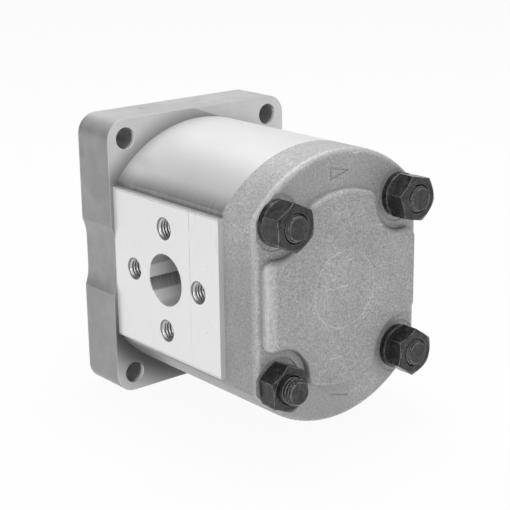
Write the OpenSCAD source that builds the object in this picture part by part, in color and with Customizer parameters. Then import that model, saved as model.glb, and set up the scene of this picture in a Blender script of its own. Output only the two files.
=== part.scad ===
// External gear pump: aluminium flange, extruded gear housing and cast rear cover on four tie studs.
// The origin is the centre of the pilot on the mounting face. +Y runs out along the drive shaft.
// Places along the shaft are depths: a depth grows from the mounting face towards the rear cover.

/* [Mounting flange] */
// Thickness of the flange
flange_t = 20.5; // [20:0.5:24]
// Radius of the flange's corners
flange_corner_r = 8; // [5:0.5:9]
// Side to side spacing of the mounting holes
hole_pitch_x = 71.5; // [70:0.5:72]
// Up and down spacing of the mounting holes
hole_pitch_z = 96.2; // [92:0.1:97]
// Diameter of the mounting holes
hole_d = 8.5; // [8:0.1:10]
// Distance from the mounting holes to the flange's long sides
hole_edge_x = 8.25; // [8:0.05:10]
// Distance from the mounting holes to the flange's ends
hole_edge_z = 7.65; // [7.5:0.05:10]
// Depth of the shallow waist in each long side
waist_depth = 1.6; // [1:0.1:2]
// Diameter of the pilot that centres the pump
pilot_d = 36.5; // [36:0.1:38]
// Height of the pilot above the mounting face
pilot_h = 4.8; // [4:0.1:5]

/* [Housing and cover] */
// Radius of the curved top and bottom of the housing
body_r = 51.6; // [51:0.1:53]
// Distance between the housing's flat sides
body_w = 80.4; // [80:0.1:82]
// Length of the gear housing
housing_l = 65; // [64:0.5:80]
// How far the port pads stand out of the flat sides
pad_raise = 2.3; // [1:0.1:3]
// Height of the port pads
pad_h = 60.4; // [55:0.1:62]
// Thickness of the rear cover at its rim
cover_t = 17; // [16:0.5:20]
// How far the middle of the cover stands above its rim
boss_raise = 3; // [2:0.1:4]
// Radius of the cover's rear edge
cover_edge_r = 2.5; // [1:0.1:3]

/* [Gears] */
// Gear module
gear_module = 2.6; // [2.55:0.01:2.62]
// Width of the gears
gear_w = 27; // [20:0.5:28]
// Pressure angle of the teeth, in degrees
pressure_angle = 25; // [24:0.5:26]
// Gap between meshing flanks at the pitch circle
backlash = 0.2; // [0.1:0.05:0.3]
// Diameter of the gear journals
journal_d = 18; // [17:0.1:18]

/* [Ports] */
// Bore of the inlet port
inlet_d = 20; // [18:0.5:20]
// Bolt circle of the inlet port
inlet_pcd = 40; // [40:0.5:41]
// Bore of the outlet port
outlet_d = 15; // [13:0.5:16]
// Bolt circle of the outlet port
outlet_pcd = 30; // [30:0.5:35]
// Depth of the tapped holes round the ports
port_hole_depth = 10.5; // [8:0.5:10.5]
// Depth of the ports' wide bores, which end in a narrower passage
port_bore_depth = 18; // [14:0.5:19]
// How much narrower the passage is than the bore, on the radius
port_step = 1; // [0.5:0.1:1.5]

/* [Tie studs] */
// Diameter of the tie studs
stud_d = 10; // [9:0.1:10]
// Distance from the tie studs to the housing's flat sides
stud_edge_x = 10.2; // [10.2:0.1:11]
// Distance from the tie studs to the top and bottom of the housing
stud_edge_z = 21.5; // [21:0.1:22.5]
// How far the studs stand out of their nuts
stud_over = 1.2; // [0.8:0.1:4]
// Extra depth of the lower left nut's seat, which has no washer
deep_seat = 0.5; // [0.3:0.1:3]

/* [Drive shaft] */
// How far the shaft reaches out of the mounting face
shaft_out = 40.5; // [40:0.1:42]
// Large diameter of the shaft's taper
taper_d = 17.2; // [16.8:0.1:17.4]
// Length of the taper
taper_l = 18; // [17:0.1:19]
// Diameter of the shaft's thread
shaft_thread_d = 12; // [11:0.5:12]

/* [Hidden] */
$fn = 96;
cut = 1;
flange_w = hole_pitch_x + 2 * hole_edge_x;
flange_h = hole_pitch_z + 2 * hole_edge_z;
stud_pitch_x = body_w - 2 * stud_edge_x;
stud_pitch_z = 2 * (body_r - stud_edge_z);

// Clearances between parts that are fitted together
run_gap = 0.04;
fit_gap = 0.05;
face_gap = 0.05;
tip_gap = 0.08;

// Gears
gear_teeth = 12;
gear_turn = 0;
flank_steps = 6;
pitch_r = gear_module * gear_teeth / 2;
base_r = pitch_r * cos(pressure_angle);
tip_r = pitch_r + gear_module;
root_r = pitch_r - 1.2 * gear_module;
tooth_step = 360 / gear_teeth;
backlash_angle = backlash / 4 / pitch_r * 180 / PI;
journal_r = journal_d / 2;
journal_over = 1;
journal_chamfer = 0.6;
mid_z = -pitch_r;
driven_z = -2 * pitch_r;

// Depths from the mounting face
housing_front = flange_t;
housing_back = flange_t + housing_l;
cover_back = housing_back + cover_t;
boss_back = cover_back + boss_raise;
gear_front = housing_front + (housing_l - gear_w) / 2;
gear_back = gear_front + gear_w;
port_depth = (housing_front + housing_back) / 2;

// Housing bores and bearing blocks
chamber_r = tip_r + tip_gap;
block_r = chamber_r - fit_gap;
bush_wall = 1.5;
bush_r = journal_r + run_gap + bush_wall;
pocket_gap = 1;
pocket_r = journal_r + pocket_gap;
pocket_depth = 4;

// Seals let into the bearing blocks and the housing ends
pressure_groove_depth = 2.4;
pressure_groove_edge = 1.3;
pressure_groove_w = 3.3;
pressure_seal_w = 1.8;
pressure_groove_r = [chamber_r - pressure_groove_edge - pressure_groove_w, chamber_r - pressure_groove_edge];
pressure_seal_split_r = chamber_r - pressure_groove_edge - pressure_seal_w;
body_groove_depth = 1.8;
body_groove_edge = 1.6;
body_groove_w = 1.8;
body_groove_r = [chamber_r + body_groove_edge, chamber_r + body_groove_edge + body_groove_w];
seal_slack = 0.05;

// Port pads and tapped holes
pad_x = body_w / 2 + pad_raise;
pad_edge = 0.4;
inlet_thread_r = 4;
outlet_thread_r = 3;
hole_chamfer = 0.4;
edge_break = 0.15;

// Rear cover
boss_inset_x = 2.8;
boss_inset_z = 14.4;
boss_side_drop = 12.5;
boss_half_w = body_w / 2 - boss_inset_x;
boss_r = body_r - boss_inset_z;
boss_side_h = stud_pitch_z - 2 * boss_side_drop;
boss_edge_r = 2;
boss_corner_r = 3;
scallop_r = 13;
spot_r = 10.2;
nut_af = 16;
nut_h = 8.4;
nut_face_share = 0.95;
nut_chamfer = 0.6;
washer_r = 8.4;
washer_t = 2.6;
washer_edge = 0.3;
washer_bore_gap = 0.25;
washer_bore_r = stud_d / 2 + washer_bore_gap;
spot_depth = 0.3;
seat_depth = cover_back - spot_depth;
mark_depth = 0.35;
mark_width = 0.7;
mark_rise = 6.2;
mark_z = mid_z + boss_r + mark_rise;
arrow_l = 9.5;
arrow_h = 5.4;
dash_l = 9.2;
dash_drop = 5;
dash_z = mid_z - boss_r - dash_drop;
dash_lean = 15;

// Tie studs
stud_r = stud_d / 2;
stud_hole_gap = 0.2;
stud_hole_r = stud_r + stud_hole_gap;
stud_front = 6;
stud_bottom_gap = 0.5;
stud_pitch = 1.5;
stud_thread_depth = 0.85;
stud_root_r = stud_r - stud_thread_depth;
stud_chamfer = 0.8;
tip_step = 0.3;
stud_tip = seat_depth + washer_t + nut_h + stud_over;
stud_thread_l = 18;
// Each stud as its place, the turn of its nut and the extra depth of a seat without a washer
studs = [
    [-stud_pitch_x / 2, mid_z + stud_pitch_z / 2, 3, 0],
    [stud_pitch_x / 2, mid_z + stud_pitch_z / 2, 17.3, 0],
    [-stud_pitch_x / 2, mid_z - stud_pitch_z / 2, 5, deep_seat],
    [stud_pitch_x / 2, mid_z - stud_pitch_z / 2, -5.5, 0]
];

// Dowels between the castings
dowel_r = 3;
dowel_l = 9.6;
dowel_chamfer = 0.5;
dowel_hole_gap = 0.02;
dowel_end_gap = 0.25;
dowel_edge = 7.2;
dowel_x = body_w / 2 - dowel_edge;

// Waist of the flange
waist_r = 20;
waist_flat = 12;

// Shaft seal and its circlip
seal_r = 15;
seal_depth = 6;
seal_w = 7;
seal_front = seal_depth - seal_w;
case_wall = 0.7;
case_r = seal_r - fit_gap;
case_inner_r = journal_r + 2.5;
lip_gap = 0.03;
lip_slack = 0.05;
lip_front_gap = 0.1;
lip_web_t = 0.8;
lip_wall = 0.9;
lip_neck = 0.4;
lip_dust_l = 1.1;
lip_edge_at = 4.6;
lip_thick_from = 3.2;
lip_back = 6.2;
spring_at = 4.8;
spring_wire_r = 0.6;
circlip_t = 1.2;
circlip_r = 15.7;
circlip_inner_r = 13.5;
circlip_lug_r = 1.9;
circlip_lug_turn = 11;
circlip_hole_r = 0.9;
circlip_split_w = 1.2;
circlip_front = seal_front - circlip_t;
circlip_groove_gap = 0.05;
shaft_bore_gap = 0.6;
shaft_bore_r = journal_r + shaft_bore_gap;

// Drive shaft
seal_land_out = 7.2;
taper_r = taper_d / 2;
taper_ratio = 8;
taper_end_r = taper_r - taper_l / taper_ratio / 2;
taper_end = seal_land_out + taper_l;
shaft_neck_r = 4.9;
shaft_neck_l = 2.5;
shaft_thread_r = shaft_thread_d / 2;
shaft_thread_depth = 0.8;
shaft_thread_pitch = 1.5;
shaft_tip_l = 1;
shaft_washer_r = 10.2;
shaft_washer_t = 2.6;
shaft_washer_slot = 1.6;
shaft_washer_gap = 0.2;
shaft_nut_af = 18;
shaft_nut_h = 9;
key_r = 7;
key_w = 3.2;
key_bottom = 3.6;
key_top = 9.6;
key_out = 16;
key_gap = 0.02;

// A flat outline drawn in X and Z, made solid from one depth to another
module slab(front, back) {
    translate([0, -front, 0])
        rotate([90, 0, 0])
            linear_extrude(back - front)
                children();
}

// A profile of radius and depth, turned about an axis along Y
module turned(x, z) {
    translate([x, 0, z])
        rotate([90, 0, 0])
            rotate_extrude()
                children();
}

// A round bar along Y
module bar(x, z, r, front, back) {
    translate([x, -front, z])
        rotate([90, 0, 0])
            cylinder(h = back - front, r = r);
}

// A round bar along X, from its mouth inwards, on the side that sign gives
module cross_bar(sign, depth, z, r, mouth, length) {
    translate([sign * mouth, -depth, z])
        rotate([0, -90 * sign, 0])
            cylinder(h = length, r = r);
}

// The cone that breaks the edge of a round hole along Y
module mouth_y(x, z, r, at, towards, size = hole_chamfer) {
    translate([x, -at, z])
        rotate([90 * towards, 0, 0])
            cylinder(h = size + cut, r1 = r + size, r2 = r - cut);
}

// The cone that breaks the edge of a round hole along X
module mouth_x(sign, depth, z, r, size = hole_chamfer) {
    translate([sign * pad_x, -depth, z])
        rotate([0, -90 * sign, 0])
            cylinder(h = size + cut, r1 = r + size, r2 = r - cut);
}

// Two equal circles round the drive axis and the driven axis
module two_circles(r) {
    circle(r);
    translate([0, driven_z])
        circle(r);
}

// A figure of eight band between two radii
module eight_band(inner, outer) {
    difference() {
        two_circles(outer);
        two_circles(inner);
    }
}

// The outline that the housing and the cover share
module body_outline() {
    intersection() {
        translate([0, mid_z])
            circle(body_r);
        translate([-body_w / 2, mid_z - body_r])
            square([body_w, 2 * body_r]);
    }
}

// The tapped and plain holes of one port
module port_holes(sign, bore_r, pcd, thread_r) {
    cross_bar(sign, port_depth, mid_z, bore_r, pad_x + cut, port_bore_depth + cut);
    cross_bar(sign, port_depth, mid_z, bore_r - port_step, pad_x, pad_x);
    mouth_x(sign, port_depth, mid_z, bore_r, edge_break);
    for (turn = [0:90:270]) {
        depth = port_depth + pcd / 2 * cos(turn);
        z = mid_z + pcd / 2 * sin(turn);
        cross_bar(sign, depth, z, thread_r, pad_x + cut, port_hole_depth + cut);
        mouth_x(sign, depth, z, thread_r);
    }
}

// The pair of dowel holes at one joint face
module dowel_holes(at) {
    for (side = [-1, 1])
        bar(side * dowel_x, mid_z, dowel_r + dowel_hole_gap, at - dowel_l / 2 - dowel_end_gap,
            at + dowel_l / 2 + dowel_end_gap);
}

// The pair of dowels at one joint face
module dowels(at) {
    for (side = [-1, 1])
        turned(side * dowel_x, mid_z)
            polygon([[0, at - dowel_l / 2], [dowel_r - dowel_chamfer, at - dowel_l / 2],
                     [dowel_r, at - dowel_l / 2 + dowel_chamfer], [dowel_r, at + dowel_l / 2 - dowel_chamfer],
                     [dowel_r - dowel_chamfer, at + dowel_l / 2], [0, at + dowel_l / 2]]);
}

// The flange's outline, with round corners and a shallow waist in each long side
module flange_outline() {
    difference() {
        translate([0, mid_z]) {
            square([flange_w - 2 * flange_corner_r, flange_h], center = true);
            square([flange_w, flange_h - 2 * flange_corner_r], center = true);
            for (x = [-1, 1], z = [-1, 1])
                translate([x * (flange_w / 2 - flange_corner_r), z * (flange_h / 2 - flange_corner_r)])
                    circle(flange_corner_r);
        }
        for (side = [-1, 1], end = [-1, 1])
            translate([side * (flange_w / 2 - waist_depth + waist_r), mid_z + end * waist_flat / 2])
                circle(waist_r);
        for (side = [-1, 1])
            translate([side * (flange_w / 2 - waist_depth + waist_r), mid_z])
                square([2 * waist_r, waist_flat], center = true);
    }
}

module front_flange() {
    color("silver")
        difference() {
            union() {
                slab(0, flange_t)
                    flange_outline();
                turned(0, 0)
                    polygon([[0, cut], [pilot_d / 2, cut], [pilot_d / 2, -pilot_h + hole_chamfer],
                             [pilot_d / 2 - hole_chamfer, -pilot_h], [0, -pilot_h]]);
            }
            for (x = [-1, 1], z = [-1, 1]) {
                bar(x * hole_pitch_x / 2, mid_z + z * hole_pitch_z / 2, hole_d / 2, -cut, flange_t + cut);
                mouth_y(x * hole_pitch_x / 2, mid_z + z * hole_pitch_z / 2, hole_d / 2, 0, 1, edge_break);
                mouth_y(x * hole_pitch_x / 2, mid_z + z * hole_pitch_z / 2, hole_d / 2, flange_t, -1, edge_break);
            }
            bar(0, 0, seal_r, -pilot_h - cut, seal_depth);
            bar(0, 0, circlip_r + circlip_groove_gap, circlip_front - circlip_groove_gap, seal_front);
            bar(0, 0, shaft_bore_r, 0, flange_t + cut);
            bar(0, driven_z, pocket_r, flange_t - pocket_depth, flange_t + cut);
            for (s = studs)
                bar(s[0], s[1], stud_r + fit_gap, stud_front - stud_bottom_gap, flange_t + cut);
            dowel_holes(flange_t);
        }
}

module gear_housing() {
    color("gainsboro")
        difference() {
            union() {
                slab(housing_front, housing_back)
                    body_outline();
                slab(housing_front, housing_back)
                    pad_outline();
            }
            slab(housing_front - cut, housing_back + cut)
                two_circles(chamber_r);
            slab(housing_front - cut, housing_front + body_groove_depth)
                eight_band(body_groove_r[0], body_groove_r[1]);
            slab(housing_back - body_groove_depth, housing_back + cut)
                eight_band(body_groove_r[0], body_groove_r[1]);
            port_holes(-1, inlet_d / 2, inlet_pcd, inlet_thread_r);
            port_holes(1, outlet_d / 2, outlet_pcd, outlet_thread_r);
            for (s = studs)
                bar(s[0], s[1], stud_hole_r, housing_front - cut, housing_back + cut);
            dowel_holes(housing_front);
            dowel_holes(housing_back);
        }
}

// Both port pads as one block through the housing, with their long edges broken
module pad_outline() {
    polygon([[-pad_x, mid_z - pad_h / 2 + pad_edge], [-pad_x + pad_edge, mid_z - pad_h / 2],
             [pad_x - pad_edge, mid_z - pad_h / 2], [pad_x, mid_z - pad_h / 2 + pad_edge],
             [pad_x, mid_z + pad_h / 2 - pad_edge], [pad_x - pad_edge, mid_z + pad_h / 2],
             [-pad_x + pad_edge, mid_z + pad_h / 2], [-pad_x, mid_z + pad_h / 2 - pad_edge]]);
}

// Half of the cover's section, with its rear edge rounded
module cover_section(half_w) {
    translate([0, housing_back])
        square([half_w - cover_edge_r, cover_t]);
    translate([0, housing_back])
        square([half_w, cover_t - cover_edge_r]);
    translate([half_w - cover_edge_r, cover_back - cover_edge_r])
        circle(cover_edge_r);
}

// The cover's plain block: curved top and bottom, flat sides, all with a round rear edge
module cover_block() {
    intersection() {
        turned(0, mid_z)
            cover_section(body_r);
        translate([0, 0, mid_z - body_r])
            linear_extrude(2 * body_r)
                mirror([0, 1])
                    union() {
                        cover_section(body_w / 2);
                        mirror([1, 0])
                            cover_section(body_w / 2);
                    }
    }
}

// The raised middle's outline, scalloped round the four nuts
module boss_outline() {
    difference() {
        translate([0, mid_z])
            intersection() {
                union() {
                    circle(boss_r);
                    square([2 * boss_half_w, boss_side_h], center = true);
                }
                square([2 * boss_half_w, 2 * boss_r], center = true);
            }
        for (s = studs)
            translate([s[0], s[1]])
                circle(scallop_r);
    }
}

// The raised middle, with every edge rounded
module boss() {
    minkowski() {
        slab(housing_back + cover_t / 2, boss_back - boss_edge_r)
            offset(r = boss_corner_r, $fn = 32)
                offset(delta = -boss_corner_r - boss_edge_r)
                    boss_outline();
        sphere(boss_edge_r, $fn = 16);
    }
}

// The seat under one nut and the stud's hole
module stud_seat(s) {
    bar(s[0], s[1], spot_r, seat_depth - s[3], boss_back + cut);
    bar(s[0], s[1], stud_hole_r, housing_back - cut, seat_depth);
}

// The arrow that shows which way the drive gear turns, and a short mould dash
module cover_marks() {
    slab(cover_back - mark_depth, cover_back + cut)
        difference() {
            translate([0, mark_z])
                polygon([[-arrow_l / 2, -arrow_h / 2], [arrow_l / 2, 0], [-arrow_l / 2, arrow_h / 2]]);
            translate([-mark_width / 2, mark_z])
                polygon([[-arrow_l / 2 + 1.5 * mark_width, -arrow_h / 2 + 1.7 * mark_width],
                         [arrow_l / 2 - 1.8 * mark_width, 0],
                         [-arrow_l / 2 + 1.5 * mark_width, arrow_h / 2 - 1.7 * mark_width]]);
        }
    slab(cover_back - mark_depth, cover_back + cut)
        translate([0, dash_z])
            rotate(-dash_lean)
                square([dash_l, mark_width], center = true);
}

module rear_cover() {
    color("darkgray")
        difference() {
            union() {
                cover_block();
                boss();
            }
            for (s = studs)
                stud_seat(s);
            for (z = [0, driven_z])
                bar(0, z, pocket_r, housing_back - cut, housing_back + pocket_depth);
            dowel_holes(housing_back);
            cover_marks();
        }
}

// How far an involute turns at a given pressure angle, in degrees
function involute(angle) = tan(angle) * 180 / PI - angle;

// Half the angle that a tooth takes up at radius r
function half_tooth(r) =
    90 / gear_teeth - backlash_angle + involute(pressure_angle) - involute(acos(min(1, base_r / r)));

function polar(r, angle) = [r * cos(angle), r * sin(angle)];

function flank_r(k) = base_r + (tip_r - base_r) * k / flank_steps;

// One tooth, from the root before it to the root after it
function tooth(at) = concat(
    [polar(root_r, at - half_tooth(base_r))],
    [for (k = [0:flank_steps]) polar(flank_r(k), at - half_tooth(flank_r(k)))],
    [polar(tip_r, at)],
    [for (k = [flank_steps:-1:0]) polar(flank_r(k), at + half_tooth(flank_r(k)))],
    [polar(root_r, at + half_tooth(base_r))],
    [polar(root_r, at + tooth_step / 2)]
);

module gear(z, turn) {
    slab(gear_front, gear_back)
        translate([0, z])
            polygon([for (k = [0:gear_teeth - 1]) each tooth(k * tooth_step + turn)]);
}

// Ridges of a thread as points of a turned profile
function ridges(crest, root, front, back, pitch) = [
    for (k = [0:floor((back - front) / pitch) - 1])
        each [[root, front + (k + 0.1) * pitch], [crest, front + (k + 0.55) * pitch]]
];

// The drive shaft's profile, from its threaded end to its rear journal
function drive_profile() = concat(
    [[0, -shaft_out], [shaft_neck_r, -shaft_out], [shaft_thread_r - tip_step, -shaft_out + shaft_tip_l]],
    ridges(shaft_thread_r, shaft_thread_r - shaft_thread_depth, -shaft_out + shaft_tip_l,
           -taper_end - shaft_neck_l, shaft_thread_pitch),
    [[shaft_neck_r, -taper_end - shaft_neck_l], [shaft_neck_r, -taper_end], [taper_end_r, -taper_end],
     [taper_r, -seal_land_out], [journal_r, -seal_land_out + journal_chamfer],
     [journal_r, gear_back + (housing_l - gear_w) / 2 + journal_over - journal_chamfer],
     [journal_r - journal_chamfer, housing_back + journal_over], [0, housing_back + journal_over]]
);

// The space that the key lies in, or the key itself with no gap
module key_shape(gap) {
    intersection() {
        translate([-key_w / 2 - gap, key_out, key_bottom + key_r])
            rotate([0, 90, 0])
                cylinder(h = key_w + 2 * gap, r = key_r + gap);
        translate([-key_w, key_out - key_r - cut, 0])
            cube([2 * key_w, 2 * (key_r + cut), key_top]);
    }
}

module drive_gear_shaft() {
    color("slategray")
        difference() {
            union() {
                turned(0, 0)
                    polygon(drive_profile());
                gear(0, gear_turn);
            }
            key_shape(key_gap);
        }
}

module driven_gear_shaft() {
    color("slategray") {
        turned(0, driven_z)
            polygon([[0, housing_front - journal_over],
                     [journal_r - journal_chamfer, housing_front - journal_over],
                     [journal_r, housing_front - journal_over + journal_chamfer],
                     [journal_r, housing_back + journal_over - journal_chamfer],
                     [journal_r - journal_chamfer, housing_back + journal_over],
                     [0, housing_back + journal_over]]);
        gear(driven_z, tooth_step / 2 - gear_turn);
    }
}

// A bearing block, with the groove for its seal in the end that faces a casting
module bearing_block(front, back, groove_front) {
    difference() {
        slab(front, back)
            difference() {
                two_circles(block_r);
                two_circles(bush_r + fit_gap);
            }
        slab(groove_front, groove_front + pressure_groove_depth + cut)
            eight_band(pressure_groove_r[0], pressure_groove_r[1]);
    }
}

module front_bearing_block() {
    color("lightsteelblue")
        bearing_block(housing_front, gear_front - face_gap, housing_front - cut);
}

module rear_bearing_block() {
    color("lightsteelblue")
        bearing_block(gear_back + face_gap, housing_back, housing_back - pressure_groove_depth);
}

// A split bush is shown closed: a plain ring round one journal
module bush(z, front, back) {
    color("peru")
        slab(front, back)
            translate([0, z])
                difference() {
                    circle(bush_r);
                    circle(journal_r + run_gap);
                }
}

module front_drive_bush() {
    bush(0, housing_front + face_gap, gear_front - 2 * face_gap);
}

module front_driven_bush() {
    bush(driven_z, housing_front + face_gap, gear_front - 2 * face_gap);
}

module rear_drive_bush() {
    bush(0, gear_back + 2 * face_gap, housing_back - face_gap);
}

module rear_driven_bush() {
    bush(driven_z, gear_back + 2 * face_gap, housing_back - face_gap);
}

// The figure of eight seal on a bearing block
module pressure_seal(front) {
    color("black")
        slab(front, front + pressure_groove_depth - seal_slack)
            eight_band(pressure_seal_split_r + seal_slack, pressure_groove_r[1] - seal_slack);
}

module front_pressure_seal() {
    pressure_seal(housing_front);
}

module rear_pressure_seal() {
    pressure_seal(housing_back - pressure_groove_depth + seal_slack);
}

// The pair of backup rings inside a pressure seal
module backup_rings(front) {
    color("ivory")
        slab(front, front + pressure_groove_depth - seal_slack)
            eight_band(pressure_groove_r[0] + seal_slack, pressure_seal_split_r - seal_slack);
}

module front_backup_rings() {
    backup_rings(housing_front);
}

module rear_backup_rings() {
    backup_rings(housing_back - pressure_groove_depth + seal_slack);
}

// The seal between the housing and a casting
module body_seal(front) {
    color("black")
        slab(front, front + body_groove_depth - seal_slack)
            eight_band(body_groove_r[0] + seal_slack, body_groove_r[1] - seal_slack);
}

module front_body_seal() {
    body_seal(housing_front);
}

module rear_body_seal() {
    body_seal(housing_back - body_groove_depth + seal_slack);
}

module shaft_seal_case() {
    color("dimgray")
        turned(0, 0)
            polygon([[case_r, seal_front], [case_r, seal_depth], [case_r - case_wall, seal_depth],
                     [case_r - case_wall, seal_front + case_wall], [case_inner_r, seal_front + case_wall],
                     [case_inner_r, seal_front]]);
}

// The rubber lip: a dust lip in front, a web behind the case and the sealing lip
module shaft_seal_lip() {
    web_r = case_r - case_wall - lip_slack;
    color("black")
        turned(0, 0)
            translate([0, seal_front])
                polygon([[journal_r + lip_gap, lip_front_gap], [case_inner_r - lip_slack, lip_front_gap],
                         [case_inner_r - lip_slack, case_wall + lip_slack], [web_r, case_wall + lip_slack],
                         [web_r, case_wall + lip_slack + lip_web_t],
                         [case_inner_r, case_wall + lip_slack + lip_web_t],
                         [case_inner_r - lip_neck, lip_back], [journal_r + lip_wall, lip_back],
                         [journal_r + lip_gap, lip_edge_at],
                         [journal_r + lip_wall, lip_thick_from], [journal_r + lip_wall, lip_dust_l]]);
}

module shaft_seal_spring() {
    color("lightgray")
        turned(0, 0)
            translate([case_inner_r + spring_wire_r, seal_front + spring_at])
                circle(spring_wire_r, $fn = 32);
}

// The circlip that keeps the shaft seal in, with its gap and lugs at the bottom
module seal_circlip() {
    color("dimgray")
        slab(circlip_front, seal_front - circlip_groove_gap)
            difference() {
                union() {
                    difference() {
                        circle(circlip_r);
                        circle(circlip_inner_r);
                    }
                    for (side = [-1, 1])
                        translate(polar(circlip_inner_r, -90 + side * circlip_lug_turn))
                            circle(circlip_lug_r);
                }
                for (side = [-1, 1])
                    translate(polar(circlip_inner_r, -90 + side * circlip_lug_turn))
                        circle(circlip_hole_r);
                translate([-circlip_split_w / 2, -circlip_r - cut])
                    square([circlip_split_w, circlip_r]);
            }
}

module front_dowels() {
    color("gray")
        dowels(flange_t);
}

module rear_dowels() {
    color("gray")
        dowels(housing_back);
}

// One stud's profile: a plain shank with a threaded rear end
function stud_profile() = concat(
    [[0, stud_front], [stud_root_r, stud_front], [stud_r, stud_front + stud_chamfer],
     [stud_r, stud_tip - stud_thread_l]],
    ridges(stud_r, stud_root_r, stud_tip - stud_thread_l, stud_tip - stud_chamfer, stud_pitch),
    [[stud_r - tip_step, stud_tip - stud_chamfer], [stud_root_r, stud_tip], [0, stud_tip]]
);

module tie_studs() {
    color("#2b2b2b")
        for (s = studs)
            turned(s[0], s[1])
                polygon(stud_profile());
}

module stud_washers() {
    color("#262626")
        for (s = studs)
            if (s[3] == 0)
                turned(s[0], s[1])
                    translate([0, seat_depth])
                        polygon([[washer_bore_r, 0], [washer_r, 0], [washer_r, washer_t - washer_edge],
                                 [washer_r - washer_edge, washer_t], [washer_bore_r, washer_t]]);
}

// Depth of the face that one nut sits on: its washer or its deep seat
function nut_seat(s) = s[3] == 0 ? seat_depth + washer_t : seat_depth - s[3];

// A hexagon nut along Y, its corners broken by cones at both faces
module hex_nut(x, z, turn, af, height, bore_r, front) {
    corner_r = af / 2 / cos(30);
    face_r = af / 2 * nut_face_share;
    blank_r = corner_r + cut;
    corner_drop = (blank_r - face_r) * tan(30);
    difference() {
        intersection() {
            translate([x, -front, z])
                rotate([90, -turn, 0])
                    rotate(90)
                        cylinder(h = height, r = corner_r, $fn = 6);
            turned(x, z)
                translate([0, front])
                    polygon([[0, 0], [face_r, 0], [blank_r, corner_drop], [blank_r, height - corner_drop],
                             [face_r, height], [0, height]]);
        }
        bar(x, z, bore_r, front - cut, front + height + cut);
        mouth_y(x, z, bore_r, front + height, -1, nut_chamfer);
        mouth_y(x, z, bore_r, front, 1, nut_chamfer);
    }
}

module stud_nuts() {
    color("#2b2b2b")
        for (s = studs)
            hex_nut(s[0], s[1], s[2], nut_af, nut_h, stud_r + fit_gap, nut_seat(s));
}

module woodruff_key() {
    color("dimgray")
        key_shape(0);
}

// The spring washer under the shaft nut, with its slot
module shaft_washer() {
    color("dimgray")
        slab(-taper_end - shaft_washer_t, -taper_end)
            difference() {
                circle(shaft_washer_r);
                circle(shaft_thread_r + shaft_washer_gap);
                translate([shaft_thread_r - cut, 0])
                    rotate(10)
                        square([shaft_washer_r, shaft_washer_slot]);
            }
}

module shaft_nut() {
    color("dimgray")
        hex_nut(0, 0, 0, shaft_nut_af, shaft_nut_h, shaft_thread_r + fit_gap,
                -taper_end - shaft_washer_t - shaft_nut_h);
}

front_flange();
gear_housing();
rear_cover();
drive_gear_shaft();
driven_gear_shaft();
front_bearing_block();
rear_bearing_block();
front_drive_bush();
front_driven_bush();
rear_drive_bush();
rear_driven_bush();
front_pressure_seal();
rear_pressure_seal();
front_backup_rings();
rear_backup_rings();
front_body_seal();
rear_body_seal();
shaft_seal_case();
shaft_seal_lip();
shaft_seal_spring();
seal_circlip();
front_dowels();
rear_dowels();
tie_studs();
stud_washers();
stud_nuts();
woodruff_key();
shaft_washer();
shaft_nut();
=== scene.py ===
"""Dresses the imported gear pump: real threads, procedural finishes, plain light and the camera."""

import logging
import math
from abc import ABC, abstractmethod
from dataclasses import dataclass
from enum import Enum
from typing import Iterable, Optional, Sequence, Union

import bmesh
import bpy
from mathutils import Matrix, Vector


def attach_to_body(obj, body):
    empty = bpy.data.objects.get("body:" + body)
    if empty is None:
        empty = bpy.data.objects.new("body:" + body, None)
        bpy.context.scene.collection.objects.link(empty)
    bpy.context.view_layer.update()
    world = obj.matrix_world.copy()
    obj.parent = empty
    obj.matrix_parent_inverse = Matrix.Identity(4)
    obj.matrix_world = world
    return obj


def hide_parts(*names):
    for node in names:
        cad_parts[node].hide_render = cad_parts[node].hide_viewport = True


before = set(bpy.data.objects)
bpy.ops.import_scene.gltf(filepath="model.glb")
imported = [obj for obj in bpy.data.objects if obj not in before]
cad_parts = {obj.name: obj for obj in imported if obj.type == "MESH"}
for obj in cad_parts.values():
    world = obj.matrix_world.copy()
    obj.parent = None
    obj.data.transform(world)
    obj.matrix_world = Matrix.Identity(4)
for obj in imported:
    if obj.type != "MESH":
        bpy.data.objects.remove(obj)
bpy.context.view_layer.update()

LOG = logging.getLogger("pump")
MM = 0.001
MID_Z = -15.6 * MM
TURN = 2 * math.pi

Number = Union[float, int, "Signal"]
Colour = tuple[float, float, float, float]


class Body(Enum):
    """The CAD body that the added pieces ride on."""

    PUMP = "pump_body"


class Axis(Enum):
    """The three axes of the shared frame."""

    X = "X"
    Y = "Y"
    Z = "Z"


def grey(level: float) -> Colour:
    """Returns a neutral linear colour of the given level."""
    return (level, level, level, 1.0)


def tint(red: float, green: float, blue: float) -> Colour:
    """Returns an opaque linear colour."""
    return (red, green, blue, 1.0)


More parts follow.
